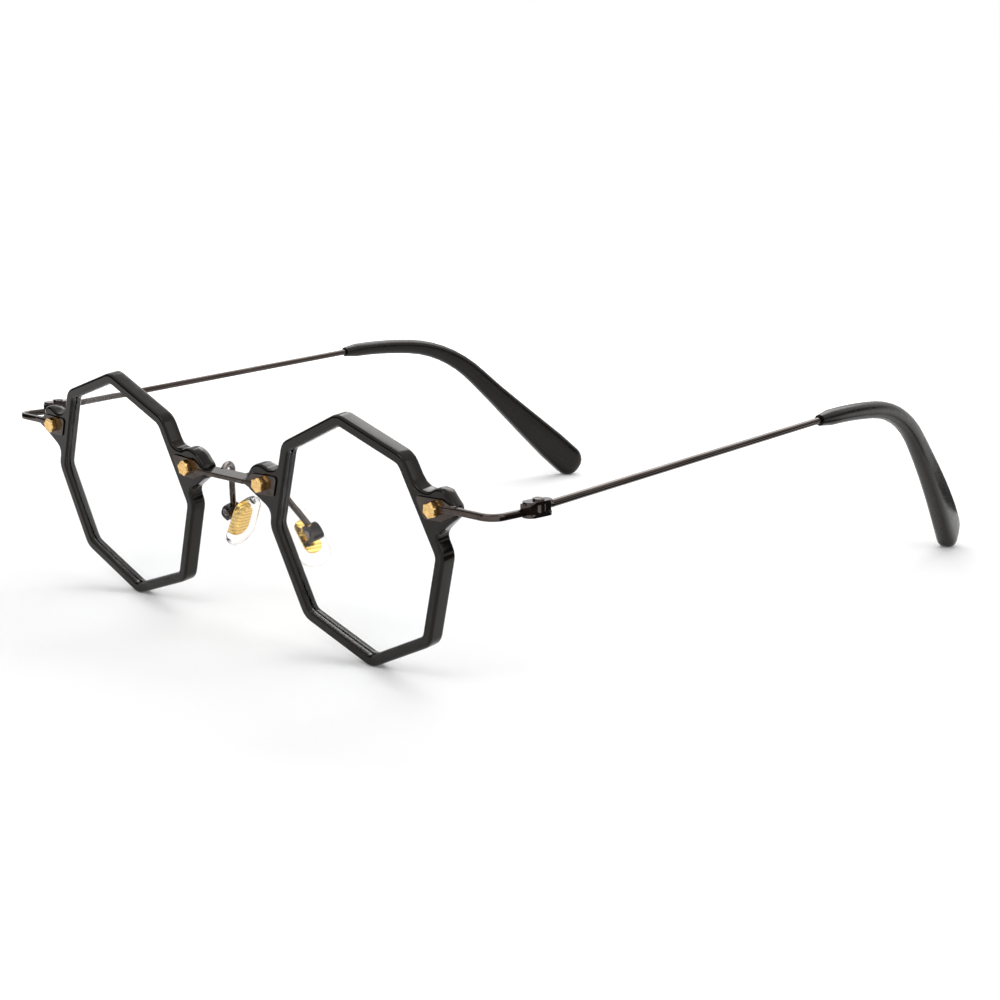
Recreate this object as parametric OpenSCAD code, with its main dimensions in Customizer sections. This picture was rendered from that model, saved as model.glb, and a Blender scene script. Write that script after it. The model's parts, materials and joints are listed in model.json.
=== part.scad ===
// Octagonal combination eyeglasses, open, standing on a table.
// Two acetate rims carry inlaid metal plates held by star rivets. The plates
// run into the bridge and into endpieces that turn back to screw hinges with
// wire temples. X points to the wearer's left, Y to the back, Z up, and
// Z = 0 is the table. All sizes are in millimetres and degrees.

/* [Front] */
// Width of a lens opening, corner to corner
lens_w = 38; // [35:0.5:44]
// Gap between the two lens openings at the nose
bridge_gap = 24.8; // [23:0.2:28]
// Width of the acetate rim seen from the front
rim_w = 1.9; // [1.7:0.1:2.5]
// Depth of the rim, front to back
rim_d = 2.9; // [2.8:0.1:3.8]
// Rounding of the rim's outer edges
rim_round = 0.5; // [0.3:0.05:0.7]
// Rounding radius of the opening's corners
opening_r = 1.6; // [1:0.1:2.5]
// Lean of the front, top edge forwards
front_tilt = 7.7; // [3:0.1:11]
// Turn of each rim in its own plane, temple side up
rim_turn = 2.2; // [0:0.1:3.5]

/* [Lenses] */
// Lens thickness
lens_t = 1.5; // [1.2:0.1:1.8]
// Radius of the lens's spherical faces
lens_curve = 180; // [140:10:300]
// Depth of the lens groove in the rim
groove = 0.5; // [0.3:0.05:0.7]
// Width of the lens groove
groove_w = 0.6; // [0.4:0.05:0.9]
// Play around the lens edge
lens_play = 0.05; // [0.03:0.01:0.1]

/* [Lugs and plates] */
// Distance of the temple side rivet outside the rim's edge
outer_rivet_out = 2.8; // [2.6:0.1:3.4]
// Distance of the nose side rivet outside the rim's edge
inner_rivet_out = 3.1; // [2.8:0.1:3.6]
// Height of the temple side rivet above the rim's centre
outer_rivet_z = 8.1; // [7:0.1:9]
// Height of the nose side rivet above the rim's centre
inner_rivet_z = 7.3; // [6.4:0.1:8]
// Reach of the temple side lug past its rivet
outer_reach = 4.5; // [4.3:0.05:5.6]
// Reach of the nose side lug past its rivet
inner_reach = 4.6; // [4.3:0.05:5.4]
// Height of each lug above its rivet
lug_top = 2.25; // [2:0.05:2.8]
// Height from each rivet down to the lug's lower root
lug_drop = 4.6; // [4:0.1:5.5]
// Thickness of the inlaid plates
plate_t = 0.7; // [0.6:0.05:1]
// Depth of the plate recess in the lug
recess = 0.45; // [0.3:0.05:0.6]
// Acetate left between the lens opening and a plate
plate_gap = 1.45; // [1.2:0.05:1.8]
// Height of a plate above its rivet
plate_up = 1.6; // [1.45:0.05:1.8]
// Height of a plate below its rivet
plate_down = 1.9; // [1.7:0.05:2.2]

/* [Rivets] */
// Radius of the star head over its points
star_r = 1.36; // [1.2:0.02:1.44]
// Radius of the star head in its notches
star_notch_r = 1.12; // [1:0.02:1.18]
// Height of the star head
star_h = 1.2; // [0.8:0.1:1.6]
// Depth of the star head's creased dimple
star_dimple = 0.25; // [0.15:0.05:0.4]
// Radius of the rivet shank
shank_r = 0.6; // [0.45:0.05:0.75]
// Radius of the closed tail behind the rim
tail_r = 0.95; // [0.9:0.05:1.2]
// Height of the closed tail
tail_h = 0.35; // [0.25:0.05:0.5]

/* [Bridge] */
// Height of the bridge bar
bridge_h = 0.85; // [0.7:0.05:1.2]
// Depth of the bridge bar between the lugs
bridge_d = 2.9; // [1.6:0.1:3]
// Height of the bridge bar below the nose side rivets
bridge_drop = 0.1; // [0:0.05:0.8]

/* [Endpieces and hinges] */
// Height of the endpiece bar
bar_h = 1.15; // [1:0.05:1.5]
// Height of the rib that runs from each rivet into its bar
rib_h = 0.25; // [0.15:0.05:0.35]
// Radius of the endpiece's bend, to the middle of the bar
bend_r = 2.3; // [1.8:0.1:3]
// Distance of the hinge screw outside the outer rivet
hinge_out = 12.7; // [11.5:0.1:13.5]
// Distance of the hinge screw behind the rim's front
hinge_back = 7.7; // [7.3:0.1:9]
// Rise of the hinge's middle above the endpiece bar
hinge_rise = 0.5; // [0.2:0.05:0.6]
// Thickness of the hinge's upper leaf
upper_leaf_t = 0.5; // [0.45:0.05:0.8]
// Thickness of the hinge's lower leaf
lower_leaf_t = 0.55; // [0.5:0.05:0.9]
// Half width of the hinge leaves
leaf_r = 1.2; // [1.1:0.05:1.5]
// Height of the temple's tongue between the leaves
tongue_h = 1.2; // [1.1:0.1:1.6]
// Radius of the hinge screw
screw_r = 0.5; // [0.4:0.05:0.6]
// Play between moving hinge parts
hinge_play = 0.06; // [0.04:0.01:0.08]

/* [Temples] */
// Length of the temple from the hinge screw to the start of the tip
rod_len = 73; // [60:1:85]
// Radius of the temple rod
rod_r = 0.6; // [0.5:0.05:0.8]
// Inward lean of the temple rod
rod_in = 0.85; // [0:0.05:2]
// Length of the wire core inside the tip
core_len = 11; // [8:1:12]
// Radius of the wire core
core_r = 0.45; // [0.35:0.05:0.5]

/* [Temple tips] */
// Length of a tip along its middle line
tip_len = 78; // [70:1:86]
// Height of the tip's round start
tip_start_h = 2.8; // [2.4:0.1:3.2]
// Height of the tip before its bend
tip_neck_h = 3.3; // [3:0.1:3.8]
// Height of the tip after its bend
tip_mid_h = 4.6; // [4:0.1:5.4]
// Width of the paddle at the tip's end
paddle_w = 7.2; // [6.4:0.1:8]
// Thickness of the tip at its start
tip_t = 2.9; // [2.5:0.1:3.2]
// Thickness of the paddle
paddle_t = 4.4; // [3.4:0.1:5]
// Downward slope of the tip after its bend
tip_drop_angle = 41; // [36:0.5:46]
// Inward turn of the tip at its end
tip_in_angle = 19.5; // [12:0.5:22]

/* [Nose pads] */
// Distance of each pad screw from the middle
pad_x = 11.6; // [11:0.1:12.4]
// Distance of each pad screw behind the rim's front
pad_back = 9; // [8.4:0.1:10]
// Height of each pad screw below the middle of the rims
pad_drop = 2.9; // [2.6:0.1:4]
// Outward flare of the pads' lower ends
pad_flare = 31; // [26:1:36]
// Backward turn of the pads' faces
pad_splay = 14; // [8:1:20]
// Turn of each pad in its own plane, lower end backwards
pad_turn = 16; // [10:1:20]
// Length of a pad
pad_len = 10.8; // [10:0.1:13]
// Width of a pad
pad_w = 6.6; // [6.2:0.1:7.6]
// Thickness of a pad
pad_t = 2; // [1.9:0.1:2.6]
// Length of the metal insert's plate
insert_len = 6.2; // [5.6:0.1:7]
// Width of the metal insert's plate
insert_w = 3.4; // [3:0.1:4.4]
// Thickness of the metal insert's plate
insert_t = 0.4; // [0.3:0.05:0.5]
// Radius of the pad arm wire
arm_r = 0.55; // [0.45:0.05:0.65]
// Height of the pad arm's hook above the bridge
arm_hook = 0.5; // [0.4:0.05:1]
// Radius of the pad screw
pad_screw_r = 0.4; // [0.35:0.05:0.45]
// Play between the pad's lug and its box
pad_play = 0.06; // [0.04:0.01:0.08]

/* [Hidden] */
$fn = 48;

rim_x = (lens_w + bridge_gap) / 2;
// Rounding of small metal edges, play of fixed parts, overlap within a piece
soft = 0.12;
seat = 0.03;
join = 0.1;

function polar(r, a) = [r * cos(a), r * sin(a)];
function turned(v, a) = [v.x * cos(a) - v.y * sin(a), v.x * sin(a) + v.y * cos(a)];
function unit(v) = v / norm(v);
function cross2(a, b) = a.x * b.y - a.y * b.x;
function flat2(p) = [p.x, p.y];
function mixed(a, b, s) = a + (b - a) * s;

// A corner is [x, y, radius, front rounding, back rounding], and a height of
// the back rounding if it isn't round. Corners run counterclockwise, and a
// positive inset moves the outline inwards.
function corner_points(before, corner, after, inset, steps) =
    let (
        u = unit(flat2(before) - flat2(corner)),
        v = unit(flat2(after) - flat2(corner)),
        half = acos(u * v) / 2,
        convex = cross2(u, v) < 0 ? 1 : -1,
        centre = flat2(corner) + unit(u + v) * corner[2] / sin(half),
        start = unit(flat2(corner) + u * corner[2] / tan(half) - centre),
        sweep = convex * (180 - 2 * half)
    )
    [for (k = [0:steps]) centre + turned(start, sweep * k / steps) * (corner[2] - convex * inset)];

function outline(corners, inset = 0, steps = 3) =
    let (n = len(corners))
    [for (i = [0:n - 1])
        each corner_points(corners[(i + n - 1) % n], corners[i], corners[(i + 1) % n], inset, steps)];

// One ring of a slab's rounded edge: column 3 rounds the front, 4 the back
function edge_ring(corners, column, base, towards, angle, steps) =
    let (n = len(corners))
    [for (i = [0:n - 1])
        let (
            round_r = corners[i][column],
            round_h = column == 4 && len(corners[i]) > 5 ? corners[i][5] : round_r,
            inset = round_r * (1 - sin(angle)),
            z = base + towards * round_h * (1 - cos(angle))
        )
        for (p = corner_points(corners[(i + n - 1) % n], corners[i], corners[(i + 1) % n], inset, steps))
            [p.x, p.y, z]];

function slab_rings(corners, back, front, rounds, steps) = concat(
    [for (k = [0:rounds]) edge_ring(corners, 4, back, 1, 90 * k / rounds, steps)],
    [for (k = [rounds:-1:0]) edge_ring(corners, 3, front, -1, 90 * k / rounds, steps)]);

// A solid through rings of equal point count, from the first to the last. With
// two hubs, each end is a fan around its hub and not one flat polygon.
module loft(rings, hubs = []) {
    n = len(rings[0]);
    last = (len(rings) - 1) * n;
    hub = len(rings) * n;
    ends = len(hubs) == 0
        ? [[for (i = [0:n - 1]) i], [for (i = [n - 1:-1:0]) last + i]]
        : [for (i = [0:n - 1]) each [[hub, i, (i + 1) % n], [hub + 1, last + (i + 1) % n, last + i]]];
    polyhedron(
        points = concat([for (ring = rings) each ring], hubs),
        faces = concat(
            ends,
            [for (j = [0:len(rings) - 2], i = [0:n - 1])
                let (a = j * n + i, d = j * n + (i + 1) % n)
                each [[a, a + n, d + n], [a, d + n, d]]]),
        convexity = 8);
}

module slab(corners, back, front, rounds = 3, steps = 3)
    loft(slab_rings(corners, back, front, rounds, steps));

function mirrored(corners) = [for (i = [len(corners) - 1:-1:0])
    [for (k = [0:len(corners[i]) - 1]) k == 0 ? -corners[i][k] : corners[i][k]]];

// Octagon with a corner at the top and at each side, drawn by hand: each
// corner is a little off its regular place. Corner 0 is at the temple side.
corner_shift = [
    [-0.1, 0.2], [-0.2, 0.6], [0.3, -0.1], [0.3, 0],
    [0, 0.1], [-0.5, -0.4], [0.1, -0.3], [0.1, -0.2]];
function opening_corner(k) = polar(lens_w / 2, 45 * k) + corner_shift[k % 8];
function grown_corner(k, out) =
    let (
        corner = opening_corner(k),
        u = unit(opening_corner(k + 7) - corner),
        v = unit(opening_corner(k + 1) - corner),
        half = acos(u * v) / 2
    )
    corner - unit(u + v) * out / sin(half);
function octagon(out, r) = [for (k = [0:7])
    let (p = grown_corner(k, out))
    [p.x, p.y, r, rim_round, rim_round]];
function opening_outline(out) = outline(octagon(out, opening_r + out), 0, 3);

// Distance from the middle to a side of the octagon, at a given height.
// Sides are named by their two corners.
outer_side = [0, 1];
inner_side = [4, 3];
function edge_x(side, out, y) =
    let (a = grown_corner(side[0], out), b = grown_corner(side[1], out))
    abs(a.x + (b.x - a.x) * (y - a.y) / (b.y - a.y));
function rivet_x(side, z) =
    edge_x(side, rim_w, z) + (side == outer_side ? outer_rivet_out : inner_rivet_out);

// Lug, drawn on the right hand side of a rim. Its corners are given from the
// rivet, and its back edges are rounded far more than its front edges.
lug_soft = 1.25;
outer_back = [1.2, 2];
inner_back = [0.7, 1.4];
lug_brow_r = 2;
outer_roots = [1.6, 3];
inner_roots = [1.6, 2];
outer_lug = [[outer_reach - 0.35, -1.3], [outer_reach - 0.35, 0.55], [2.3, lug_top + 0.1]];
inner_lug = [[inner_reach - 0.3, -1.35], [inner_reach, 0.6], [2.9, lug_top]];
function lug_corners(side, z, lug, roots, top, back) =
    let (x = rivet_x(side, z))
    [
        [edge_x(side, rim_w, z - lug_drop), z - lug_drop, roots[0], rim_round, rim_round],
        [x + lug[0].x, z + lug[0].y, lug_soft, rim_round, back.x, back.y],
        [x + lug[1].x, z + lug[1].y, lug_soft, rim_round, back.x, back.y],
        [x + lug[2].x, z + lug[2].y, lug_brow_r, rim_round, back.x, back.y],
        [edge_x(side, rim_w, z + top), z + top, roots[1], rim_round, rim_round]
    ];
rim_corner_soft = 3.2;
rim_octagon = octagon(rim_w, rim_corner_soft);
rim_corners = concat(
    [rim_octagon[0]],
    lug_corners(outer_side, outer_rivet_z, outer_lug, outer_roots, lug_top, outer_back),
    [rim_octagon[1], rim_octagon[2], rim_octagon[3]],
    mirrored(lug_corners(inner_side, inner_rivet_z, inner_lug, inner_roots, lug_top + 0.45, inner_back)),
    [rim_octagon[4], rim_octagon[5], rim_octagon[6], rim_octagon[7]]);

// Plate that runs into a bar of the given height, rivet height z
stub_len = 5.4;
taper_low = 4.8;
taper_high = 4.2;
plate_soft = 0.5;
function plate_corners(side, z, bar_z, bar_height) =
    let (
        x = rivet_x(side, z),
        low = z - plate_down,
        high = z + plate_up,
        bar_low = bar_z - bar_height / 2,
        bar_high = bar_z + bar_height / 2,
        end = x + stub_len
    )
    [
        [edge_x(side, plate_gap, low), low, plate_soft],
        [x + 1.3, low, 1.4],
        [x + taper_low, bar_low, 1.2],
        [end, bar_low, soft * 1.5],
        [end, bar_high, soft * 1.5],
        [x + taper_high, bar_high, 1.2],
        [x + 2, high, 1],
        [edge_x(side, plate_gap, high), high, plate_soft]
    ];
outer_bar_z = outer_rivet_z + 0.1;
inner_bar_z = inner_rivet_z - bridge_drop;
// A plate's stub ends inside its bar, and a bar's back lies before the recess
bar_step = 0.08;
outer_plate = plate_corners(outer_side, outer_rivet_z, outer_bar_z, bar_h - 2 * bar_step);
inner_plate = mirrored(plate_corners(inner_side, inner_rivet_z, inner_bar_z, bridge_h - 2 * bar_step));
plate_front = plate_t - recess;
bar_front = plate_front + rib_h;
bar_back = bar_step - recess;
bar_d = bar_front - bar_back;
star_play = 0.15;

// Places: the rim's drawing plane, the front's plane and the world
function rim_to_front(p) = turned(p, rim_turn) + [rim_x, 0];
function leaned(x, y, z) = [
    x,
    -z * cos(front_tilt) - y * sin(front_tilt),
    y * cos(front_tilt) - z * sin(front_tilt)];
rim_front_points = [for (ring = slab_rings(rim_corners, -rim_d, 0, 3, 3), p = ring)
    let (q = rim_to_front(p))
    leaned(q.x, q.y, p.z)];
rim_z = -min([for (p = rim_front_points) p.z]);
front_most = min([for (p = rim_front_points) p.y]);

outer_rivet = [rivet_x(outer_side, outer_rivet_z), outer_rivet_z];
inner_rivet = [-rivet_x(inner_side, inner_rivet_z), inner_rivet_z];
outer_rivet_world = leaned(rim_to_front(outer_rivet).x, rim_to_front(outer_rivet).y, 0);
stub_front = rim_to_front([outer_rivet.x + stub_len, outer_bar_z]);
stub_world = leaned(stub_front.x, stub_front.y, bar_front - bar_d / 2);

// Hinge
hinge_x = outer_rivet_world.x + hinge_out;
hinge_z = rim_z + stub_world.z + hinge_rise;
fork_gap = tongue_h + 2 * hinge_play;
fork_reach_front = 1.7;
fork_reach_back = 1.2;
tongue_r = 1.1;
web_back = tongue_r + 0.2;
web_front = 2.6;
web_w = 2 * leaf_r - 0.2;
bar_x = hinge_x - 0.6;
bar_round = 0.3;
leg_in = 0.4;
screw_head_r = 0.9;
screw_head_h = 0.3;
slot_w = 0.25;
slot_d = 0.15;
tongue_w = 1.7;
tongue_back = 1.9;
neck_r = 0.42;
neck_cone = 0.6;

// Tip: slope and inward turn change along its middle line
tip_steps = 30;
tip_sides = 20;
slope_knots = [[0, -3.6], [0.24, 5.6], [0.51, tip_drop_angle], [1, tip_drop_angle]];
height_knots = [[0, tip_start_h], [0.3, tip_neck_h], [0.6, tip_mid_h], [0.88, paddle_w], [1, paddle_w]];
thick_knots = [[0, tip_t], [0.4, tip_t + 0.1], [1, paddle_t]];
square_knots = [[0, 2], [0.4, 2.2], [0.8, 3.2], [1, 3.2]];
function tip_slope(s) = lookup(s, slope_knots);
function tip_turn(s) = mixed(rod_in, tip_in_angle, s);
function heading(s) = [
    -sin(tip_turn(s)) * cos(tip_slope(s)),
    cos(tip_turn(s)) * cos(tip_slope(s)),
    -sin(tip_slope(s))];
tip_stations = concat(
    [for (k = [0:tip_steps - 6]) k / (tip_steps - 6) * (1 - paddle_w / 2 / tip_len)],
    [for (k = [1:6]) 1 - paddle_w / 2 / tip_len * (1 - sin(15 * k))]);
function sums(list, k = 0, total = [0, 0, 0]) =
    k == len(list) ? [total] : concat([total], sums(list, k + 1, total + list[k]));
tip_middle = sums([for (k = [1:len(tip_stations) - 1])
    let (a = tip_stations[k - 1], b = tip_stations[k])
    heading((a + b) / 2) * (b - a) * tip_len]);
function end_share(s) =
    let (past = max(0, s - (1 - paddle_w / 2 / tip_len)) * tip_len / (paddle_w / 2))
    sqrt(max(0.0004, 1 - past * past));
function rounded_power(v, p) = sign(v) * pow(abs(v), 2 / p);
function tip_ring(k) =
    let (
        s = tip_stations[k],
        across = [cos(tip_turn(s)), sin(tip_turn(s)), 0],
        up = cross(heading(s), across),
        start_share = lookup(s * tip_len, [[0, 0.72], [0.5, 0.93], [1.2, 1]]),
        half_h = lookup(s, height_knots) / 2 * end_share(s) * start_share,
        half_t = lookup(s, thick_knots) / 2 * pow(end_share(s), 0.7) * start_share,
        p = lookup(s, square_knots)
    )
    [for (i = [0:tip_sides - 1])
        let (a = 360 * i / tip_sides)
        tip_middle[k]
            + across * half_t * rounded_power(cos(a), p)
            + up * half_h * rounded_power(sin(a), p)];
tip_rings = [for (k = [0:len(tip_stations) - 1]) tip_ring(k)];
tip_drop = -min([for (ring = tip_rings, p = ring) p.z]);
tip_back = max([for (ring = tip_rings, p = ring) p.y]);

// Temple rod: it rises so that the tip's lowest point meets the table
rod_rise = asin((tip_drop - hinge_z) / rod_len);
tip_start = [
    hinge_x - rod_len * cos(rod_rise) * sin(rod_in),
    hinge_back + rod_len * cos(rod_rise) * cos(rod_in),
    hinge_z + rod_len * sin(rod_rise)];
neck_back = 2.9;

// The origin is under the middle of the whole object's box
middle_y = (front_most + tip_start.y + tip_back) / 2;

// Pads
pad_z = rim_z - pad_drop;
box_half_w = 1.1;
box_half_h = 1.6;
box_wall = 0.35;
box_back = 1.1;
box_mouth = -0.9;
box_lip_r = 0.4;
box_low_r = 0.9;
box_top_r = 1.5;
pad_head_r = 0.65;
pad_head_h = 0.2;
pad_slot_w = 0.22;
pad_slot_d = 0.1;
eye_r = 0.65;
insert_x = -2.2;
insert_out = 0.1;
pad_soft = 0.85;

module front_plane()
    translate([0, 0, rim_z])
        rotate([front_tilt, 0, 0])
            rotate([90, 0, 0])
                children();

module rim_plane()
    front_plane()
        translate([rim_x, 0, 0])
            rotate([0, 0, rim_turn])
                children();

// Everything is modelled on the wearer's left and mirrored for the right
module placed(side)
    translate([0, -middle_y, 0])
        mirror([side < 0 ? 1 : 0, 0, 0])
            children();

module outlined(points, back, front)
    translate([0, 0, back])
        linear_extrude(front - back)
            polygon(points);

// Rim with its lens groove, plate recesses and rivet holes. The hub of its flat
// faces is a little off the middle, so that no spoke meets an opening's corner.
hub = [0.9, -0.7, 0];
flare = 0.3;
groove_z = -rim_d / 2;
module lens_opening()
    loft([
        for (step = [
            [-rim_d - join, flare + join],
            [-rim_d + flare, 0],
            [groove_z - groove_w / 2, 0],
            [groove_z - groove_w / 2, groove],
            [groove_z + groove_w / 2, groove],
            [groove_z + groove_w / 2, 0],
            [-flare, 0],
            [join, flare + join]])
        [for (p = opening_outline(step[1])) [p.x, p.y, step[0]]]]);

module rivet_hole(p, play)
    translate([p.x, p.y, -rim_d - 1])
        cylinder(r = shank_r + play, h = rim_d + 4);

module rim()
    color([0.08, 0.08, 0.09])
        rim_plane()
            difference() {
                loft(slab_rings(rim_corners, -rim_d, 0, 3, 3), [[hub.x, hub.y, -rim_d], hub]);
                lens_opening();
                outlined(outline(outer_plate, -seat), -recess, 1);
                outlined(outline(inner_plate, -seat), -recess, 1);
                rivet_hole(outer_rivet, seat);
                rivet_hole(inner_rivet, seat);
            }

// Lens: two spherical faces, with a rib around the edge for the groove
module lens() {
    sag = lens_curve - sqrt(pow(lens_curve, 2) - pow(lens_w / 2, 2));
    front = groove_z + lens_t / 2 + sag;
    rib = groove_w / 2 - lens_play;
    color([0.9, 0.95, 1, 0.3])
        rim_plane() {
            intersection() {
                outlined(opening_outline(-lens_play), -rim_d - 1, 1);
                difference() {
                    translate([0, 0, front - lens_curve])
                        sphere(lens_curve, $fn = 360);
                    translate([0, 0, front - lens_curve - lens_t])
                        sphere(lens_curve, $fn = 360);
                }
            }
            difference() {
                outlined(opening_outline(groove - lens_play), groove_z - rib, groove_z + rib);
                outlined(opening_outline(-groove), groove_z - 1, groove_z + 1);
            }
        }
}

// Star headed rivet: head on the plate, shank, closed tail behind the rim
star_corners = [for (k = [0:11])
    let (p = polar(k % 2 == 0 ? star_r : star_notch_r, 30 * k + 15))
    [p.x, p.y, 0.15, soft, soft / 2]];
star_top = plate_front + star_h;
module rivet(p)
    color([0.9, 0.7, 0.35])
        rim_plane()
            translate([p.x, p.y, 0]) {
                loft(
                    slab_rings(star_corners, plate_front, star_top, 2, 2),
                    [[0, 0, plate_front], [0, 0, star_top - star_dimple]]);
                translate([0, 0, -rim_d - seat])
                    cylinder(r = shank_r, h = rim_d + seat + plate_front + star_h / 2);
                translate([0, 0, -rim_d])
                    mirror([0, 0, 1])
                        rotate_extrude()
                            polygon(concat(
                                [[0, 0], [tail_r, 0]],
                                [for (a = [15:15:90]) [tail_r * cos(a), tail_h * sin(a)]]));
            }

module plate(corners, p)
    difference() {
        outlined(outline(corners), -recess, plate_front);
        rivet_hole(p, seat);
    }

// Bridge: two inlaid plates and the bar between the lugs
bridge_front = rim_to_front([inner_rivet.x - stub_len, inner_bar_z]);
lug_tip_front = rim_to_front([inner_rivet.x - inner_reach, inner_bar_z]);
bar_half = rim_to_front(inner_rivet).x - star_r - star_play;
deep_half = lug_tip_front.x - star_play;
bridge_round = 0.2;
module bridge_bar(half_len, back, smaller)
    translate([-half_len, bridge_front.y, 0])
        rotate([90, 0, 90])
            linear_extrude(2 * half_len)
                polygon(outline([
                    [smaller - bridge_h / 2, back, bridge_round],
                    [bridge_h / 2 - smaller, back, bridge_round],
                    [bridge_h / 2 - smaller, bar_front - smaller, bridge_round],
                    [smaller - bridge_h / 2, bar_front - smaller, bridge_round]]));

module bridge()
    color([0.36, 0.32, 0.3])
        translate([0, -middle_y, 0]) {
            for (side = [0, 1])
                mirror([side, 0, 0])
                    rim_plane()
                        plate(inner_plate, inner_rivet);
            front_plane() {
                bridge_bar(bar_half, bar_back, bar_step / 2);
                bridge_bar(deep_half, bar_front - bridge_d, 0);
            }
        }

// Endpiece: inlaid plate, bar with a right angled bend, hinge fork
bar_section = outline([
    [-bar_d / 2, -bar_h / 2, bar_round],
    [bar_d / 2, -bar_h / 2, bar_round],
    [bar_d / 2, bar_h / 2, bar_round],
    [-bar_d / 2, bar_h / 2, bar_round]]);
bend_steps = 10;
// The bar's section where the bend has turned by the given angle, with the
// straight parts added before and after
function bar_ring(angle, before = 0, after = 0) =
    [for (p = bar_section) [
        (bend_r - p.x) * sin(angle) - before,
        bend_r - (bend_r - p.x) * cos(angle) + after,
        p.y]];

module leaf(z, t)
    translate([0, 0, z]) {
        translate([-leaf_r, -fork_reach_front, 0])
            cube([2 * leaf_r, fork_reach_front + fork_reach_back, t]);
        translate([0, -fork_reach_front, 0])
            cylinder(r = leaf_r, h = t);
        translate([0, fork_reach_back, 0])
            cylinder(r = leaf_r, h = t);
    }

module fork() {
    leaf(fork_gap / 2, upper_leaf_t);
    leaf(-fork_gap / 2 - lower_leaf_t, lower_leaf_t);
    translate([-leaf_r, -web_front, -fork_gap / 2 - join])
        cube([web_w, web_front - web_back, fork_gap + 2 * join]);
}

module endpiece() {
    corner_x = bar_x - bend_r;
    start_x = stub_world.x - 5 * join;
    leg_end = hinge_back - web_front + leg_in;
    color([0.36, 0.32, 0.3]) {
        rim_plane() {
            plate(outer_plate, outer_rivet);
            translate([outer_rivet.x + star_r + star_play, outer_bar_z, bar_front - bar_d / 2])
                rotate([90, 0, 90])
                    linear_extrude(stub_len - star_r)
                        rotate([0, 0, 90])
                            polygon(bar_section);
        }
        translate([corner_x, stub_world.y, rim_z + stub_world.z])
            loft(concat(
                [bar_ring(0, before = corner_x - start_x)],
                [for (k = [0:bend_steps]) bar_ring(90 * k / bend_steps)],
                [bar_ring(90, after = leg_end - stub_world.y - bend_r)]));
        difference() {
            translate([hinge_x, hinge_back, hinge_z])
                fork();
            translate([hinge_x, hinge_back, hinge_z - 5])
                cylinder(r = screw_r + seat, h = 10);
        }
    }
}

// Hinge screw: slotted head on the upper leaf, end flush with the lower one
module hinge_screw() {
    top = fork_gap / 2 + upper_leaf_t;
    bottom = -fork_gap / 2 - lower_leaf_t;
    color([0.45, 0.42, 0.4])
        translate([hinge_x, hinge_back, hinge_z])
            difference() {
                union() {
                    translate([0, 0, bottom])
                        cylinder(r = screw_r, h = top - bottom + join);
                    translate([0, 0, top])
                        cylinder(r = screw_head_r, h = screw_head_h);
                }
                translate([-2 * screw_head_r, -slot_w / 2, top + screw_head_h - slot_d])
                    cube([4 * screw_head_r, slot_w, 2 * slot_d]);
            }
}

// Temple: tongue on the screw, neck, rod and the core inside the tip
module temple()
    color([0.36, 0.32, 0.3])
        translate([hinge_x, hinge_back, hinge_z])
            rotate([rod_rise, 0, rod_in]) {
                translate([0, neck_back, 0])
                    rotate([-90, 0, 0])
                        cylinder(r = rod_r, h = rod_len - neck_back);
                translate([0, rod_len - 0.5, 0])
                    rotate([-90, 0, 0])
                        cylinder(r = core_r, h = core_len + 0.5);
                translate([0, neck_back - neck_cone + join, 0])
                    rotate([-90, 0, 0])
                        cylinder(r1 = neck_r, r2 = rod_r, h = neck_cone);
                translate([0, tongue_r, 0])
                    rotate([-90, 0, 0])
                        cylinder(r = neck_r, h = neck_back - tongue_r);
                rotate([-rod_rise, 0, 0])
                    difference() {
                        union() {
                            translate([0, 0, -tongue_h / 2])
                                cylinder(r = tongue_r, h = tongue_h);
                            translate([-tongue_w / 2, 0, -tongue_h / 2])
                                cube([tongue_w, tongue_back, tongue_h]);
                        }
                        translate([0, 0, -5])
                            cylinder(r = screw_r + hinge_play, h = 10);
                    }
            }

module temple_tip()
    color([0.1, 0.1, 0.1])
        difference() {
            translate(tip_start)
                loft(tip_rings);
            translate([hinge_x, hinge_back, hinge_z])
                rotate([rod_rise, 0, rod_in])
                    translate([0, rod_len - 1, 0])
                        rotate([-90, 0, 0])
                            cylinder(r = core_r + seat, h = core_len + 1 + seat);
        }

// Pad frame: origin on the pad screw, X away from the nose, Y along the screw
module pad_frame()
    translate([pad_x, pad_back, pad_z])
        rotate([0, 0, -pad_splay])
            rotate([0, -pad_flare, 0])
                rotate([pad_turn, 0, 0])
                    children();
function pad_to_world(p) =
    let (
        a = turned([p.y, p.z], pad_turn),
        x = p.x * cos(pad_flare) - a.y * sin(pad_flare),
        z = p.x * sin(pad_flare) + a.y * cos(pad_flare),
        q = turned([x, a.x], -pad_splay)
    )
    [pad_x + q.x, pad_back + q.y, pad_z + z];

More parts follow.
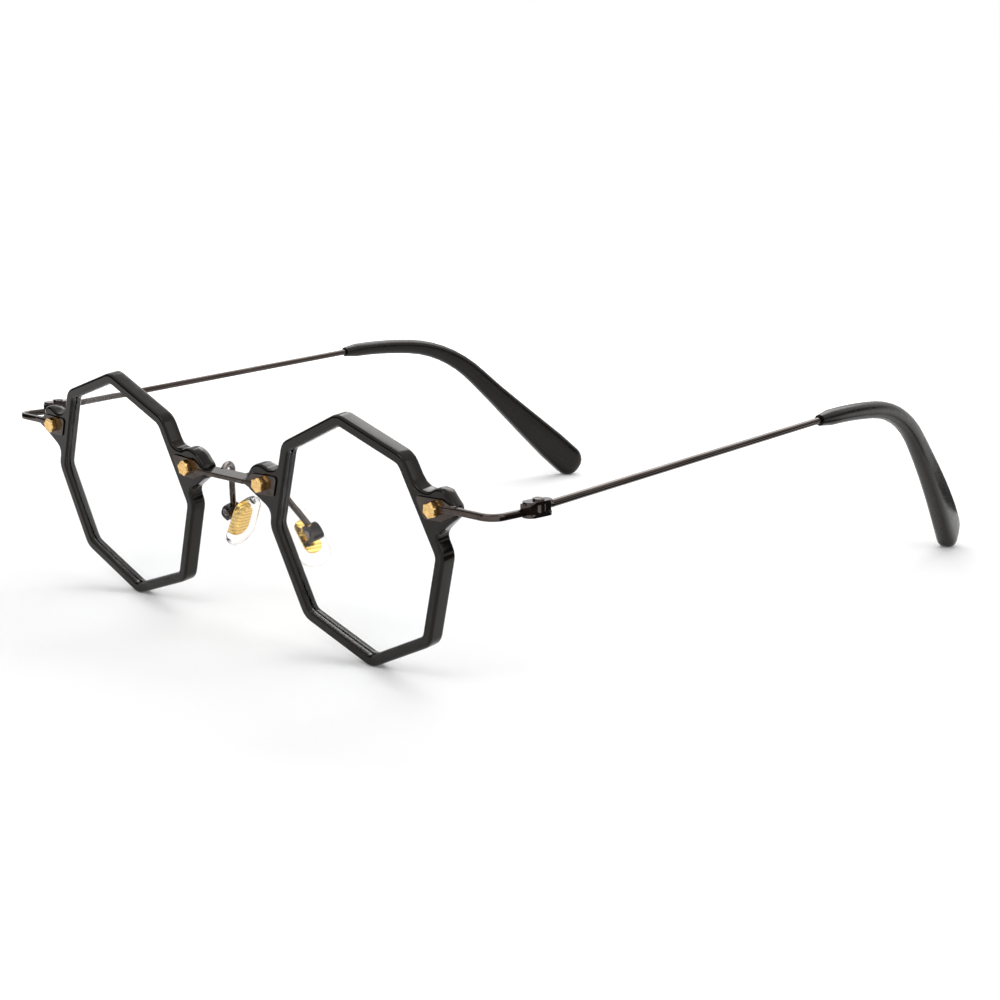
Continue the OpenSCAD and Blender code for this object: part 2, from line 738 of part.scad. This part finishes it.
// Pad arm: wire soldered behind the bridge, hooked over and down to the box
function spline(p, i, s) =
    let (a = p[i], b = p[i + 1], c = p[i + 2], d = p[i + 3])
    ((2 * b) + (c - a) * s + (2 * a - 5 * b + 4 * c - d) * s * s + (3 * b - a - 3 * c + d) * s * s * s) / 2;
function swept_ring(points, k, r, sides) =
    let (
        last = len(points) - 1,
        along = unit(points[min(k + 1, last)] - points[max(k - 1, 0)]),
        across = unit(cross([0, -0.4, 1], along)),
        up = cross(along, across)
    )
    [for (i = [0:sides - 1])
        let (a = 360 * i / sides)
        points[k] + (across * cos(a) + up * sin(a)) * r];
arm_root_x = 3.4;
arm_start = leaned(arm_root_x, bridge_front.y, bar_front - bridge_d + 0.3) + [0, 0, rim_z];
arm_end = pad_to_world([-0.25, 0, box_half_h - 0.3]);
arm_guide = [
    arm_start + [0.3, -1.5, -0.3],
    arm_start,
    arm_start + [1, 1.4, arm_hook * 0.9],
    arm_start + [2, 3, arm_hook],
    arm_start + [3, 4.4, -0.6],
    arm_start + [4, 5, -3],
    mixed(arm_start + [4, 5, -3], arm_end, 0.62),
    arm_end,
    arm_end + (arm_end - pad_to_world([-0.25, 0, box_half_h + 1]))];
arm_points = concat(
    [for (i = [0:len(arm_guide) - 4], s = [0:0.25:0.75]) spline(arm_guide, i, s)],
    [arm_end]);

module pad_arm()
    color([0.36, 0.32, 0.3])
        loft([for (k = [0:len(arm_points) - 1]) swept_ring(arm_points, k, arm_r, 12)]);

// Pad box: a cup with two cheeks that carry the pad screw
cup_half_w = box_half_w - box_wall;
cup_half_h = box_half_h - box_wall;
module pad_box()
    color([0.1, 0.1, 0.1])
        pad_frame()
            difference() {
                rotate([90, 0, 0])
                    translate([0, 0, -box_half_w])
                        linear_extrude(2 * box_half_w)
                            polygon(outline([
                                [box_mouth, -box_half_h, box_lip_r],
                                [box_back, -box_half_h, box_low_r],
                                [box_back, box_half_h, box_top_r],
                                [box_mouth, box_half_h, box_lip_r]]));
                translate([box_mouth - 1, -cup_half_w, -cup_half_h])
                    cube([1 + box_back - box_wall - box_mouth, 2 * cup_half_w, 2 * cup_half_h]);
                rotate([90, 0, 0])
                    cylinder(r = pad_screw_r + seat, h = 4 * box_half_w, center = true);
            }

module pad_screw()
    color([0.75, 0.72, 0.68])
        pad_frame()
            difference() {
                union() {
                    rotate([90, 0, 0])
                        translate([0, 0, -box_half_w])
                            cylinder(r = pad_screw_r, h = 2 * box_half_w + join);
                    translate([0, -box_half_w, 0])
                        rotate([90, 0, 0])
                            cylinder(r = pad_head_r, h = pad_head_h);
                }
                translate([-1, -box_half_w - pad_head_h + pad_slot_d - 1, -pad_slot_w / 2])
                    cube([2, 1, pad_slot_w]);
            }

// Pad insert: stamped oval plate with a lug that turns on the pad screw
oval_taper = 0.86;
function oval(length, width, low_round, high_round, edge) = [
    [-width / 2, -length / 2, low_round * width, edge, edge],
    [width / 2, -length / 2, low_round * width, edge, edge],
    [width / 2 * oval_taper, length / 2, high_round * width, edge, edge],
    [-width / 2 * oval_taper, length / 2, high_round * width, edge, edge]];
insert_outline = oval(insert_len, insert_w, 0.42, 0.36, soft);
lug_half_t = cup_half_w - pad_play;
module pad_insert()
    color([0.9, 0.7, 0.35])
        pad_frame()
            difference() {
                union() {
                    translate([insert_x, 0, 0])
                        rotate([90, 0, -90])
                            outlined(outline(insert_outline), 0, insert_t);
                    rotate([90, 0, 0])
                        cylinder(r = eye_r, h = 2 * lug_half_t, center = true);
                    translate([insert_x - insert_t / 2, -lug_half_t, -eye_r])
                        cube([-insert_x + insert_t / 2, 2 * lug_half_t, 2 * eye_r]);
                }
                rotate([90, 0, 0])
                    cylinder(r = pad_screw_r + pad_play, h = 4 * lug_half_t, center = true);
            }

// Nose pad: soft drop shaped shell moulded around the insert
pad_outline = oval(pad_len, pad_w, 0.45, 0.36, pad_soft);
module nose_pad()
    color([0.95, 0.95, 0.92, 0.5])
        pad_frame()
            difference() {
                translate([insert_x - insert_out, 0, 0])
                    rotate([90, 0, -90])
                        slab(pad_outline, 0, pad_t, 3, 4);
                translate([insert_x + seat, 0, 0])
                    rotate([90, 0, -90])
                        outlined(outline(insert_outline, -seat), 0, insert_t + 2 * seat);
                translate([insert_x - insert_t / 2, -lug_half_t - seat, -eye_r - seat])
                    cube([-insert_x, 2 * (lug_half_t + seat), 2 * (eye_r + seat)]);
            }

placed(1) rim();  // rim_left
placed(-1) rim();  // rim_right
placed(1) lens();  // lens_left
placed(-1) lens();  // lens_right
bridge();
placed(1) rivet(inner_rivet);  // rivet_nasal_left
placed(-1) rivet(inner_rivet);  // rivet_nasal_right
placed(1) rivet(outer_rivet);  // rivet_temporal_left
placed(-1) rivet(outer_rivet);  // rivet_temporal_right
placed(1) endpiece();  // endpiece_left
placed(-1) endpiece();  // endpiece_right
placed(1) hinge_screw();  // hinge_screw_left
placed(-1) hinge_screw();  // hinge_screw_right
placed(1) temple();  // temple_left
placed(-1) temple();  // temple_right
placed(1) temple_tip();  // temple_tip_left
placed(-1) temple_tip();  // temple_tip_right
placed(1) pad_arm();  // pad_arm_left
placed(-1) pad_arm();  // pad_arm_right
placed(1) pad_box();  // pad_box_left
placed(-1) pad_box();  // pad_box_right
placed(1) pad_screw();  // pad_screw_left
placed(-1) pad_screw();  // pad_screw_right
placed(1) pad_insert();  // pad_insert_left
placed(-1) pad_insert();  // pad_insert_right
placed(1) nose_pad();  // nose_pad_left
placed(-1) nose_pad();  // nose_pad_right
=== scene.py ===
import json
import math

import bmesh
import bpy
from mathutils import Matrix, Vector


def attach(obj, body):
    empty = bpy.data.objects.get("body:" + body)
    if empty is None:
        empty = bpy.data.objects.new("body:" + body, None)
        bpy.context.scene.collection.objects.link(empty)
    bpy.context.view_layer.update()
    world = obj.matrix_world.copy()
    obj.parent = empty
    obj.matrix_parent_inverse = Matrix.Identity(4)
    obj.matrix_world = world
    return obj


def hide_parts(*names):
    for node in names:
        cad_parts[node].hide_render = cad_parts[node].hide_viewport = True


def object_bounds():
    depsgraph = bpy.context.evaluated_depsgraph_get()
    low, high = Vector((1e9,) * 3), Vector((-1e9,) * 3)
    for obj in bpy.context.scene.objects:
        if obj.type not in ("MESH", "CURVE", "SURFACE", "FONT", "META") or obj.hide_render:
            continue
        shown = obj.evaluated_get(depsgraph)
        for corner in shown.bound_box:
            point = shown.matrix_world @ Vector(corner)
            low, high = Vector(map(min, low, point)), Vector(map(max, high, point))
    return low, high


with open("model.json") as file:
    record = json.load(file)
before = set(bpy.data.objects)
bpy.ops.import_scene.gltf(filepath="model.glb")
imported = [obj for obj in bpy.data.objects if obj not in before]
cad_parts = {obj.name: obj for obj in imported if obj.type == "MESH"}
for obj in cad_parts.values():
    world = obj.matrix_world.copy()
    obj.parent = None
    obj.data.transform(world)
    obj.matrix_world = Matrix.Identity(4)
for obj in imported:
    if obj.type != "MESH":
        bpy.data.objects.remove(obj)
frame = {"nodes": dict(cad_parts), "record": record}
cad_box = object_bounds()
nodes = frame["nodes"]
behaviour = frame["record"]["behaviour"]
body_of = {node: body for body, members in behaviour["bodies"].items() for node in members}
MM = 0.001
# Pitch of the pad inserts' ribs, and the wave texture's own pitch at scale 1
RIB_PITCH = 0.62 * MM
WAVE_UNIT = 0.314
SIDES = ("left", "right")

# Camera, at the photograph's place and angle
CAMERA_AT = Vector((243.38, -255.87, 87.34)) * MM
CAMERA_YAW = 44.325
CAMERA_PITCH = -12.029
CAMERA_ROLL = 0.357
CAMERA_LENS = 65.68
CAMERA_SENSOR = 36
CAMERA_CLIP = (0.01, 50)

# Studio: softboxes are (place, width, height, radiance), all aimed at the middle of the part
AIM = Vector((0, -20, 20)) * MM
FLAG_AIM = Vector((0, -70, 70)) * MM
SOFTBOXES = {
    "key_softbox": (Vector((-130, 270, 330)) * MM, 0.40, 0.22, 3.4),
    "right_softbox": (Vector((420, 60, 260)) * MM, 0.30, 0.30, 1.1),
    "front_softbox": (Vector((80, -400, 420)) * MM, 0.30, 0.16, 3.0),
}
SKY_FOR_LIGHT = 0.7
SKY_SHOWN = 1.0
FLOOR_SIZE = 12
FLOOR_DROP = 0.01 * MM
FLOOR_ALBEDO = 0.9
FLOOR_ROUGHNESS = 0.9
# The floor's own glow near the part and far from it, and the radii between which it rises
GLOW_NEAR = 0.08
GLOW_FAR = 0.48
GLOW_FROM = 0.10
GLOW_TO = 0.30
# Dark panels, seen only in reflections: (place, aim, width, height)
FLAG_SHADE = 0.02
FLAGS = {
    "front_flag": (Vector((-150, -215, 70)) * MM, FLAG_AIM, 0.34, 0.14),
    "side_flag": (Vector((175, 10, 4)) * MM, Vector((175, 10, 400)) * MM, 0.19, 0.16),
    "back_flag": (Vector((330, 330, 125)) * MM, FLAG_AIM, 0.42, 0.13),
    "inner_flag": (Vector((10, 165, 4)) * MM, Vector((10, 165, 400)) * MM, 0.13, 0.15),
}

# The part of a noise's values that is stretched to a range, and to two colours
NOISE_RANGE = (0.3, 0.7)
COLOUR_RANGE = (0.35, 0.65)

# Shells: distance for welding corners, angle of flat faces, and angle that counts as an edge
WELD = 0.002 * MM
FLAT_ANGLE = math.radians(1)
SHARP_ANGLE = math.radians(35)
# Widths of the small bevels in millimetres, by the start of the node's name
BEVELS = {
    "rim": 0.12, "bridge": 0.09, "endpiece": 0.09, "rivet": 0.10, "hinge_screw": 0.06,
    "pad_box": 0.22, "pad_screw": 0.05, "pad_insert": 0.08}
BEVEL_SEGMENTS = 2
# How far a lens's edge reaches into the rim, and the slants that tell its face and its edge
LENS_TUCK = 0.25 * MM
FACE_SLANT = 0.9
WALL_SLANT = 0.5

# Each rim's plane, as in the part's source
FRONT_TILT = math.radians(7.7)
RIM_TURN = math.radians(2.2)
# Depth of the plates' recesses, from the rim's front
RECESS = 0.46 * MM
# Hump on each lug: (outward shift from the rivet, half width, height)
HUMPS = {"rivet_temporal": (1.2 * MM, 2.7 * MM, 0.85 * MM), "rivet_nasal": (0.5 * MM, 2.8 * MM, 0.9 * MM)}
# Heights over the rivet's middle where a hump's rise begins and is whole
HUMP_BASE = 1.05 * MM
HUMP_FULL = 1.7 * MM
# The lug's corners reach this far below the base, beside the hump and above the rivet
HUMP_BELOW = 0.2 * MM
HUMP_BESIDE = 2 * MM
HUMP_TOP = 4 * MM
# Edges longer than this across are cut, so that the hump is round
LONG_EDGE = 0.9 * MM
HUMP_CUTS = 7


def turn_towards(place, target, up=Vector((0, 0, 1))):
    """Matrix at place whose -Z axis points to target."""
    back = (place - target).normalized()
    right = up.cross(back).normalized()
    level = back.cross(right)
    turn = Matrix((right, level, back)).transposed().to_4x4()
    return Matrix.Translation(place) @ turn


def linked(name, data):
    """A new object in the scene."""
    made = bpy.data.objects.new(name, data)
    bpy.context.scene.collection.objects.link(made)
    return made


def make_camera():
    data = bpy.data.cameras.new("camera")
    data.lens = CAMERA_LENS
    data.sensor_width = CAMERA_SENSOR
    data.clip_start, data.clip_end = CAMERA_CLIP
    camera = linked("camera", data)
    yaw = Matrix.Rotation(math.radians(CAMERA_YAW), 4, "Z")
    tilt = Matrix.Rotation(math.radians(90 + CAMERA_PITCH), 4, "X")
    roll = Matrix.Rotation(math.radians(CAMERA_ROLL), 4, "Z")
    camera.matrix_world = Matrix.Translation(CAMERA_AT) @ yaw @ tilt @ roll
    bpy.context.scene.camera = camera


class Paint:
    """One material's node tree, with short calls for the nodes that it needs."""

    def __init__(self, name, **sockets):
        self.material = bpy.data.materials.new(name)
        self.material.use_nodes = True
        self.tree = self.material.node_tree
        self.shader = self.tree.nodes["Principled BSDF"]
        for socket, value in sockets.items():
            self.shader.inputs[socket.replace("_", " ")].default_value = value
        self.place = self.tree.nodes.new("ShaderNodeTexCoord").outputs["Object"]

    def node(self, kind, **settings):
        made = self.tree.nodes.new(kind)
        for setting, value in settings.items():
            setattr(made, setting, value)
        return made

    def link(self, source, target):
        self.tree.links.new(source, target)

    def noise(self, size, detail=3, stretch=(1, 1, 1)):
        """Noise whose grains are about size metres across, longer where stretch is above 1."""
        mapping = self.node("ShaderNodeMapping")
        mapping.inputs["Scale"].default_value = [1 / (size * s) for s in stretch]
        noise = self.node("ShaderNodeTexNoise")
        noise.inputs["Scale"].default_value = 1
        noise.inputs["Detail"].default_value = detail
        self.link(self.place, mapping.inputs["Vector"])
        self.link(mapping.outputs["Vector"], noise.inputs["Vector"])
        return noise.outputs["Fac"]

    def spread(self, source, low, high):
        """Maps the middle of a noise's values to low and high."""
        ranged = self.node("ShaderNodeMapRange")
        ranged.inputs["From Min"].default_value = NOISE_RANGE[0]
        ranged.inputs["From Max"].default_value = NOISE_RANGE[1]
        ranged.inputs["To Min"].default_value = low
        ranged.inputs["To Max"].default_value = high
        self.link(source, ranged.inputs["Value"])
        return ranged.outputs["Result"]

    def blend_colours(self, source, first, second):
        ramp = self.node("ShaderNodeValToRGB")
        for element, position, colour in zip(ramp.color_ramp.elements, COLOUR_RANGE, (first, second)):
            element.position = position
            element.color = (*colour, 1)
        self.link(source, ramp.inputs["Fac"])
        return ramp.outputs["Color"]

    def colour(self, source, first, second):
        self.link(self.blend_colours(source, first, second), self.shader.inputs["Base Color"])

    def roughness(self, source, low, high):
        self.link(self.spread(source, low, high), self.shader.inputs["Roughness"])

    def bump(self, source, depth, strength=1.0):
        bump = self.node("ShaderNodeBump")
        bump.inputs["Strength"].default_value = strength
        bump.inputs["Distance"].default_value = depth
        self.link(source, bump.inputs["Height"])
        self.link(bump.outputs["Normal"], self.shader.inputs["Normal"])


def make_acetate():
    """Polished black acetate: faint clouds in the black, soft polishing marks."""
    paint = Paint("acetate", IOR=1.33, Specular_Tint=(1.0, 0.94, 0.88, 1))
    paint.colour(paint.noise(9 * MM, 4), (0.0016, 0.0013, 0.0012), (0.0040, 0.0034, 0.0030))
    paint.roughness(paint.noise(1.6 * MM, 5), 0.09, 0.16)
    paint.bump(paint.noise(0.35 * MM, 4, (4, 1, 1)), 0.0008 * MM, 0.5)
    return paint.material


def make_tip_acetate():
    """Tumbled temple tips: black with a satin sheen and fine grain."""
    paint = Paint("tip_acetate", IOR=1.34, Specular_Tint=(1.0, 0.94, 0.89, 1))
    paint.colour(paint.noise(6 * MM, 4), (0.0024, 0.0017, 0.0014), (0.0052, 0.0039, 0.0033))
    paint.roughness(paint.noise(1.2 * MM, 5), 0.22, 0.32)
    paint.bump(paint.noise(0.25 * MM, 4, (1, 3, 1)), 0.0015 * MM, 0.6)
    return paint.material


def make_gunmetal():
    """Dark brown-grey plating, drawn lengthwise, with slight tone changes."""
    paint = Paint("gunmetal", Metallic=1.0)
    paint.colour(paint.noise(2.2 * MM, 4, (1, 5, 1)), (0.054, 0.043, 0.038), (0.085, 0.070, 0.063))
    paint.roughness(paint.noise(0.5 * MM, 4, (1, 8, 1)), 0.08, 0.15)
    paint.bump(paint.noise(0.12 * MM, 3, (1, 12, 1)), 0.0012 * MM, 0.5)
    return paint.material


def make_gold():
    """Pale gold plating with small casting dimples."""
    paint = Paint("gold_metal", Metallic=1.0)
    paint.colour(paint.noise(0.6 * MM, 4), (0.72, 0.43, 0.14), (0.88, 0.60, 0.26))
    paint.roughness(paint.noise(0.3 * MM, 4), 0.08, 0.18)
    paint.bump(paint.noise(0.5 * MM, 2), 0.06 * MM, 0.7)
    return paint.material


def make_stamped_gold():
    """Yellow gold of the pad inserts, stamped with fine ribs."""
    paint = Paint("stamped_gold", Metallic=1.0)
    paint.roughness(paint.noise(0.3 * MM, 3), 0.16, 0.28)
    ribs = paint.node("ShaderNodeTexWave", bands_direction="Z")
    ribs.inputs["Scale"].default_value = WAVE_UNIT / RIB_PITCH
    ribs.inputs["Distortion"].default_value = 1.5
    ribs.inputs["Detail"].default_value = 1
    paint.link(paint.place, ribs.inputs["Vector"])
    # The gold itself is the insert's own colour. Its change across each rib follows the rib's height, like
    # the bump: darker gold in the grooves is painted shade and lighter gold on the crests is a painted
    # highlight.
    paint.colour(ribs.outputs["Fac"], (0.68, 0.43, 0.11), (0.88, 0.62, 0.20))
    paint.bump(ribs.outputs["Fac"], 0.03 * MM, 0.35)
    return paint.material


def make_black_metal():
    """Gloss black plating of the pad boxes."""
    paint = Paint("black_metal", Metallic=1.0)
    paint.colour(paint.noise(0.8 * MM, 3), (0.022, 0.019, 0.019), (0.045, 0.040, 0.038))
    paint.roughness(paint.noise(0.4 * MM, 4), 0.06, 0.12)
    return paint.material


def make_screw_steel():
    """Bright steel with turning marks."""
    paint = Paint("screw_steel", Metallic=1.0)
    paint.colour(paint.noise(0.3 * MM, 3), (0.16, 0.14, 0.13), (0.26, 0.24, 0.22))
    paint.roughness(paint.noise(0.15 * MM, 3, (3, 1, 1)), 0.18, 0.32)
    return paint.material


def make_lens():
    """Clear lens with an anti-reflection coat: the low IOR gives the coat's faint reflection."""
    paint = Paint("demo_lens", IOR=1.16, Transmission_Weight=1.0)
    paint.colour(paint.noise(12 * MM, 2), (0.985, 0.992, 0.995), (0.995, 0.998, 1.0))
    paint.shader.inputs["Roughness"].default_value = 0.0
    return paint.material


def make_pad_plastic():
    """Clear soft pad plastic, peach towards its edges, with slight ripples."""
    paint = Paint("pad_silicone", IOR=1.26, Transmission_Weight=1.0)
    edge = paint.node("ShaderNodeLayerWeight")
    edge.inputs["Blend"].default_value = 0.35
    paint.colour(edge.outputs["Facing"], (1.0, 0.99, 0.98), (0.86, 0.69, 0.61))
    paint.roughness(paint.noise(0.9 * MM, 3), 0.02, 0.07)
    paint.bump(paint.noise(1.4 * MM, 2), 0.02 * MM, 0.4)
    return paint.material


STAMPED_GOLD = make_stamped_gold()
MATERIALS = {
    "acetate": make_acetate(),
    "tip_acetate": make_tip_acetate(),
    "gunmetal": make_gunmetal(),
    "gold_metal": make_gold(),
    "black_metal": make_black_metal(),
    "screw_steel": make_screw_steel(),
    "demo_lens": make_lens(),
    "pad_silicone": make_pad_plastic(),
}
slot_of = {row["node"]: row["material_slot"] for row in frame["record"]["subparts"]}


def finish_of(name):
    """The material of a node: its slot's, but the pad inserts have their own gold."""
    return STAMPED_GOLD if name.startswith("pad_insert") else MATERIALS[slot_of[name]]


def paint_node(name):
    """Gives a CAD node its finish, in the slots that it has."""
    for slot in nodes[name].material_slots:
        slot.material = finish_of(name)


def bevel_of(name):
    """Width in millimetres of the small bevels on a piece's corners, 0 for none."""
    return next((width for start, width in BEVELS.items() if name.startswith(start)), 0)


def tuck_edge(work):
    """Moves a lens's edge outwards into the rim's acetate, where the real edge is hidden."""
    faces = [face for face in work.faces if face.normal.y < -FACE_SLANT]
    axis = sum((face.normal * face.calc_area() for face in faces), Vector()).normalized()
    moves = {}
    for vert in work.verts:
        walls = [face.normal for face in vert.link_faces if abs(face.normal.dot(axis)) < WALL_SLANT]
        if walls:
            moves[vert] = sum(walls, Vector()).normalized() * LENS_TUCK
    for vert, move in moves.items():
        vert.co += move


def close_over_insert(work):
    """Makes a nose pad's plastic touch its insert, as moulded: the pad's skin alone, without the pocket."""
    hull = bmesh.ops.convex_hull(work, input=work.verts)
    spare = hull["geom_interior"] + hull["geom_unused"]
    inside = {item for item in spare if isinstance(item, bmesh.types.BMVert)}
    bmesh.ops.delete(work, geom=list(inside), context="VERTS")
    skin = {item for item in hull["geom"] if isinstance(item, bmesh.types.BMFace) and item.is_valid}
    bmesh.ops.delete(work, geom=[face for face in work.faces if face not in skin], context="FACES")
    bmesh.ops.dissolve_limit(work, angle_limit=FLAT_ANGLE, verts=work.verts, edges=work.edges)


def rim_axes(side):
    """Directions of a rim's own plane: across towards the temple, up, and forwards."""
    up = Vector((0, -math.sin(FRONT_TILT), math.cos(FRONT_TILT)))
    out = Vector((1 if side == "left" else -1, 0, 0))
    across = out * math.cos(RIM_TURN) + up * math.sin(RIM_TURN)
    return across, up * math.cos(RIM_TURN) - out * math.sin(RIM_TURN), Vector((0, -up.z, up.y))


def raise_lugs(work, side):
    """Gives each lug of a rim its rounded hump above the rivet, which the CAD solid lacks.

    In front, down to the depth of the plate's recess, only what lies above the rise moves, so that the recess
    keeps its shape. Outwards of its crest the hump is fuller.
    """
    across, up, forwards = rim_axes(side)
    front = max(vert.co.dot(forwards) for vert in work.verts)
    for start, (shift, half_width, height) in HUMPS.items():
        corners = [vert.co for vert in nodes[start + "_" + side].data.vertices]
        rivet_u = sum(co.dot(across) for co in corners) / len(corners)
        rivet_v = sum(co.dot(up) for co in corners) / len(corners)
        outwards = 1 if start == "rivet_temporal" else -1

        def place(vert):
            """Outward distance from the hump's crest, and height over the rivet's middle."""
            return (vert.co.dot(across) - rivet_u) * outwards - shift, vert.co.dot(up) - rivet_v

        def on_lug(vert):
            u, v = place(vert)
            return v > HUMP_BASE - HUMP_BELOW and abs(u) < half_width + HUMP_BESIDE and v < HUMP_TOP

        long_edges = [
            edge for edge in work.edges
            if all(on_lug(vert) for vert in edge.verts)
            and abs((edge.verts[0].co - edge.verts[1].co).dot(across)) > LONG_EDGE]
        bmesh.ops.subdivide_edges(work, edges=long_edges, cuts=HUMP_CUTS, use_grid_fill=True)
        for vert in work.verts:
            u, v = place(vert)
            if not on_lug(vert) or abs(u) > half_width:
                continue
            depth = front - vert.co.dot(forwards)
            share = float(v > HUMP_FULL)
            if depth > RECESS:
                share = min(1, max(0, (v - HUMP_BASE) / (HUMP_FULL - HUMP_BASE)))
            fullness = 1 if u > 0 else 2
            vert.co += up * height * share * math.cos(u / half_width * math.pi / 2) ** fullness


def make_shell(name):
    """A copy of a CAD node's mesh that stands for the node: welded, smooth and finely bevelled.

    Lenses, nose pads and rims also get their own refinements.
    """
    mesh = nodes[name].data.copy()
    if "custom_normal" in mesh.attributes:
        mesh.attributes.remove(mesh.attributes["custom_normal"])
    work = bmesh.new()
    work.from_mesh(mesh)
    bmesh.ops.remove_doubles(work, verts=work.verts, dist=WELD)
    if name.startswith("lens"):
        tuck_edge(work)
    if name.startswith("nose_pad"):
        close_over_insert(work)
    if bevel_of(name):
        bmesh.ops.dissolve_limit(work, angle_limit=FLAT_ANGLE, verts=work.verts, edges=work.edges)
    if name.startswith("rim"):
        raise_lugs(work, name.split("_")[1])
    for face in work.faces:
        face.smooth = True
    for edge in work.edges:
        edge.smooth = bevel_of(name) > 0 or edge.calc_face_angle(math.pi) < SHARP_ANGLE
    work.to_mesh(mesh)
    work.free()
    piece = linked(name + "_shell", mesh)
    if bevel_of(name):
        bevel = piece.modifiers.new("bevels", "BEVEL")
        bevel.width = bevel_of(name) * MM
        bevel.segments = BEVEL_SEGMENTS
        bevel.limit_method = "ANGLE"
        bevel.angle_limit = SHARP_ANGLE
    weighted = piece.modifiers.new("even_light", "WEIGHTED_NORMAL")
    weighted.keep_sharp = True
    piece.data.materials.clear()
    piece.data.materials.append(finish_of(name))
    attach(piece, body_of[name])
    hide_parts(name)


def make_world():
    world = bpy.data.worlds.new("studio")
    bpy.context.scene.world = world
    world.use_nodes = True
    tree = world.node_tree
    tree.nodes.clear()
    path = tree.nodes.new("ShaderNodeLightPath")
    seen = either(tree, path)
    light = tree.nodes.new("ShaderNodeBackground")
    light.inputs["Strength"].default_value = SKY_FOR_LIGHT
    shown = tree.nodes.new("ShaderNodeBackground")
    shown.inputs["Strength"].default_value = SKY_SHOWN
    for sky in (light, shown):
        sky.inputs["Color"].default_value = (1, 1, 1, 1)
    mix = tree.nodes.new("ShaderNodeMixShader")
    output = tree.nodes.new("ShaderNodeOutputWorld")
    tree.links.new(seen, mix.inputs[0])
    tree.links.new(light.outputs[0], mix.inputs[1])
    tree.links.new(shown.outputs[0], mix.inputs[2])
    tree.links.new(mix.outputs[0], output.inputs["Surface"])


def either(tree, path):
    """1 for camera, glossy and transmission rays, which all see the same background."""
    total = path.outputs["Is Camera Ray"]
    for kind in ("Is Glossy Ray", "Is Transmission Ray"):
        most = tree.nodes.new("ShaderNodeMath")
        most.operation = "MAXIMUM"
        tree.links.new(total, most.inputs[0])
        tree.links.new(path.outputs[kind], most.inputs[1])
        total = most.outputs[0]
    return total


def make_softboxes():
    for name, (place, width, height, radiance) in SOFTBOXES.items():
        data = bpy.data.lights.new(name, "AREA")
        data.shape = "RECTANGLE"
        data.size = width
        data.size_y = height
        data.energy = radiance * math.pi * width * height
        box = linked(name, data)
        box.matrix_world = turn_towards(place, AIM)
        box.visible_camera = False


def flat_mesh(name, width, depth):
    mesh = bpy.data.meshes.new(name)
    w, d = width / 2, depth / 2
    mesh.from_pydata([(-w, -d, 0), (w, -d, 0), (w, d, 0), (-w, d, 0)], [], [(0, 1, 2, 3)])
    return mesh


def make_floor():
    """White table that stays white in view and keeps the part's shadow."""
    floor = linked("floor", flat_mesh("floor", FLOOR_SIZE, FLOOR_SIZE))
    floor.location.z = cad_box[0].z - FLOOR_DROP
    material = bpy.data.materials.new("white_table")
    material.use_nodes = True
    tree = material.node_tree
    shader = tree.nodes["Principled BSDF"]
    shader.inputs["Base Color"].default_value = (FLOOR_ALBEDO, FLOOR_ALBEDO, FLOOR_ALBEDO, 1)
    shader.inputs["Roughness"].default_value = FLOOR_ROUGHNESS
    shader.inputs["Specular IOR Level"].default_value = 0.0
    shader.inputs["Emission Color"].default_value = (1, 1, 1, 1)
    place = tree.nodes.new("ShaderNodeTexCoord")
    radius = tree.nodes.new("ShaderNodeVectorMath")
    radius.operation = "LENGTH"
    tree.links.new(place.outputs["Object"], radius.inputs[0])
    level = tree.nodes.new("ShaderNodeMapRange")
    level.interpolation_type = "SMOOTHSTEP"
    level.inputs["From Min"].default_value = GLOW_FROM
    level.inputs["From Max"].default_value = GLOW_TO
    level.inputs["To Min"].default_value = GLOW_NEAR
    level.inputs["To Max"].default_value = GLOW_FAR
    tree.links.new(radius.outputs["Value"], level.inputs["Value"])
    glow = tree.nodes.new("ShaderNodeMath")
    glow.operation = "MULTIPLY"
    tree.links.new(level.outputs["Result"], glow.inputs[1])
    tree.links.new(either(tree, tree.nodes.new("ShaderNodeLightPath")), glow.inputs[0])
    tree.links.new(glow.outputs[0], shader.inputs["Emission Strength"])
    floor.data.materials.append(material)


def make_flags():
    """Dark panels outside the camera's view, seen only in reflections, as a photographer uses."""
    material = bpy.data.materials.new("dark_cloth")
    material.use_nodes = True
    shader = material.node_tree.nodes["Principled BSDF"]
    shader.inputs["Base Color"].default_value = (FLAG_SHADE, FLAG_SHADE, FLAG_SHADE, 1)
    shader.inputs["Roughness"].default_value = 1.0
    for name, (place, aim, width, height) in FLAGS.items():
        flag = linked(name, flat_mesh(name, width, height))
        faces_up = aim.x == place.x and aim.y == place.y
        flag.matrix_world = turn_towards(place, aim, Vector((0, 1, 0)) if faces_up else Vector((0, 0, 1)))
        flag.data.materials.append(material)
        flag.visible_camera = False
        flag.visible_diffuse = False
        flag.visible_shadow = False
        flag.visible_transmission = False


make_camera()
make_world()
make_softboxes()
make_floor()
make_flags()
bpy.context.scene.view_settings.view_transform = "Standard"

for name in nodes:
    make_shell(name)
    paint_node(name)
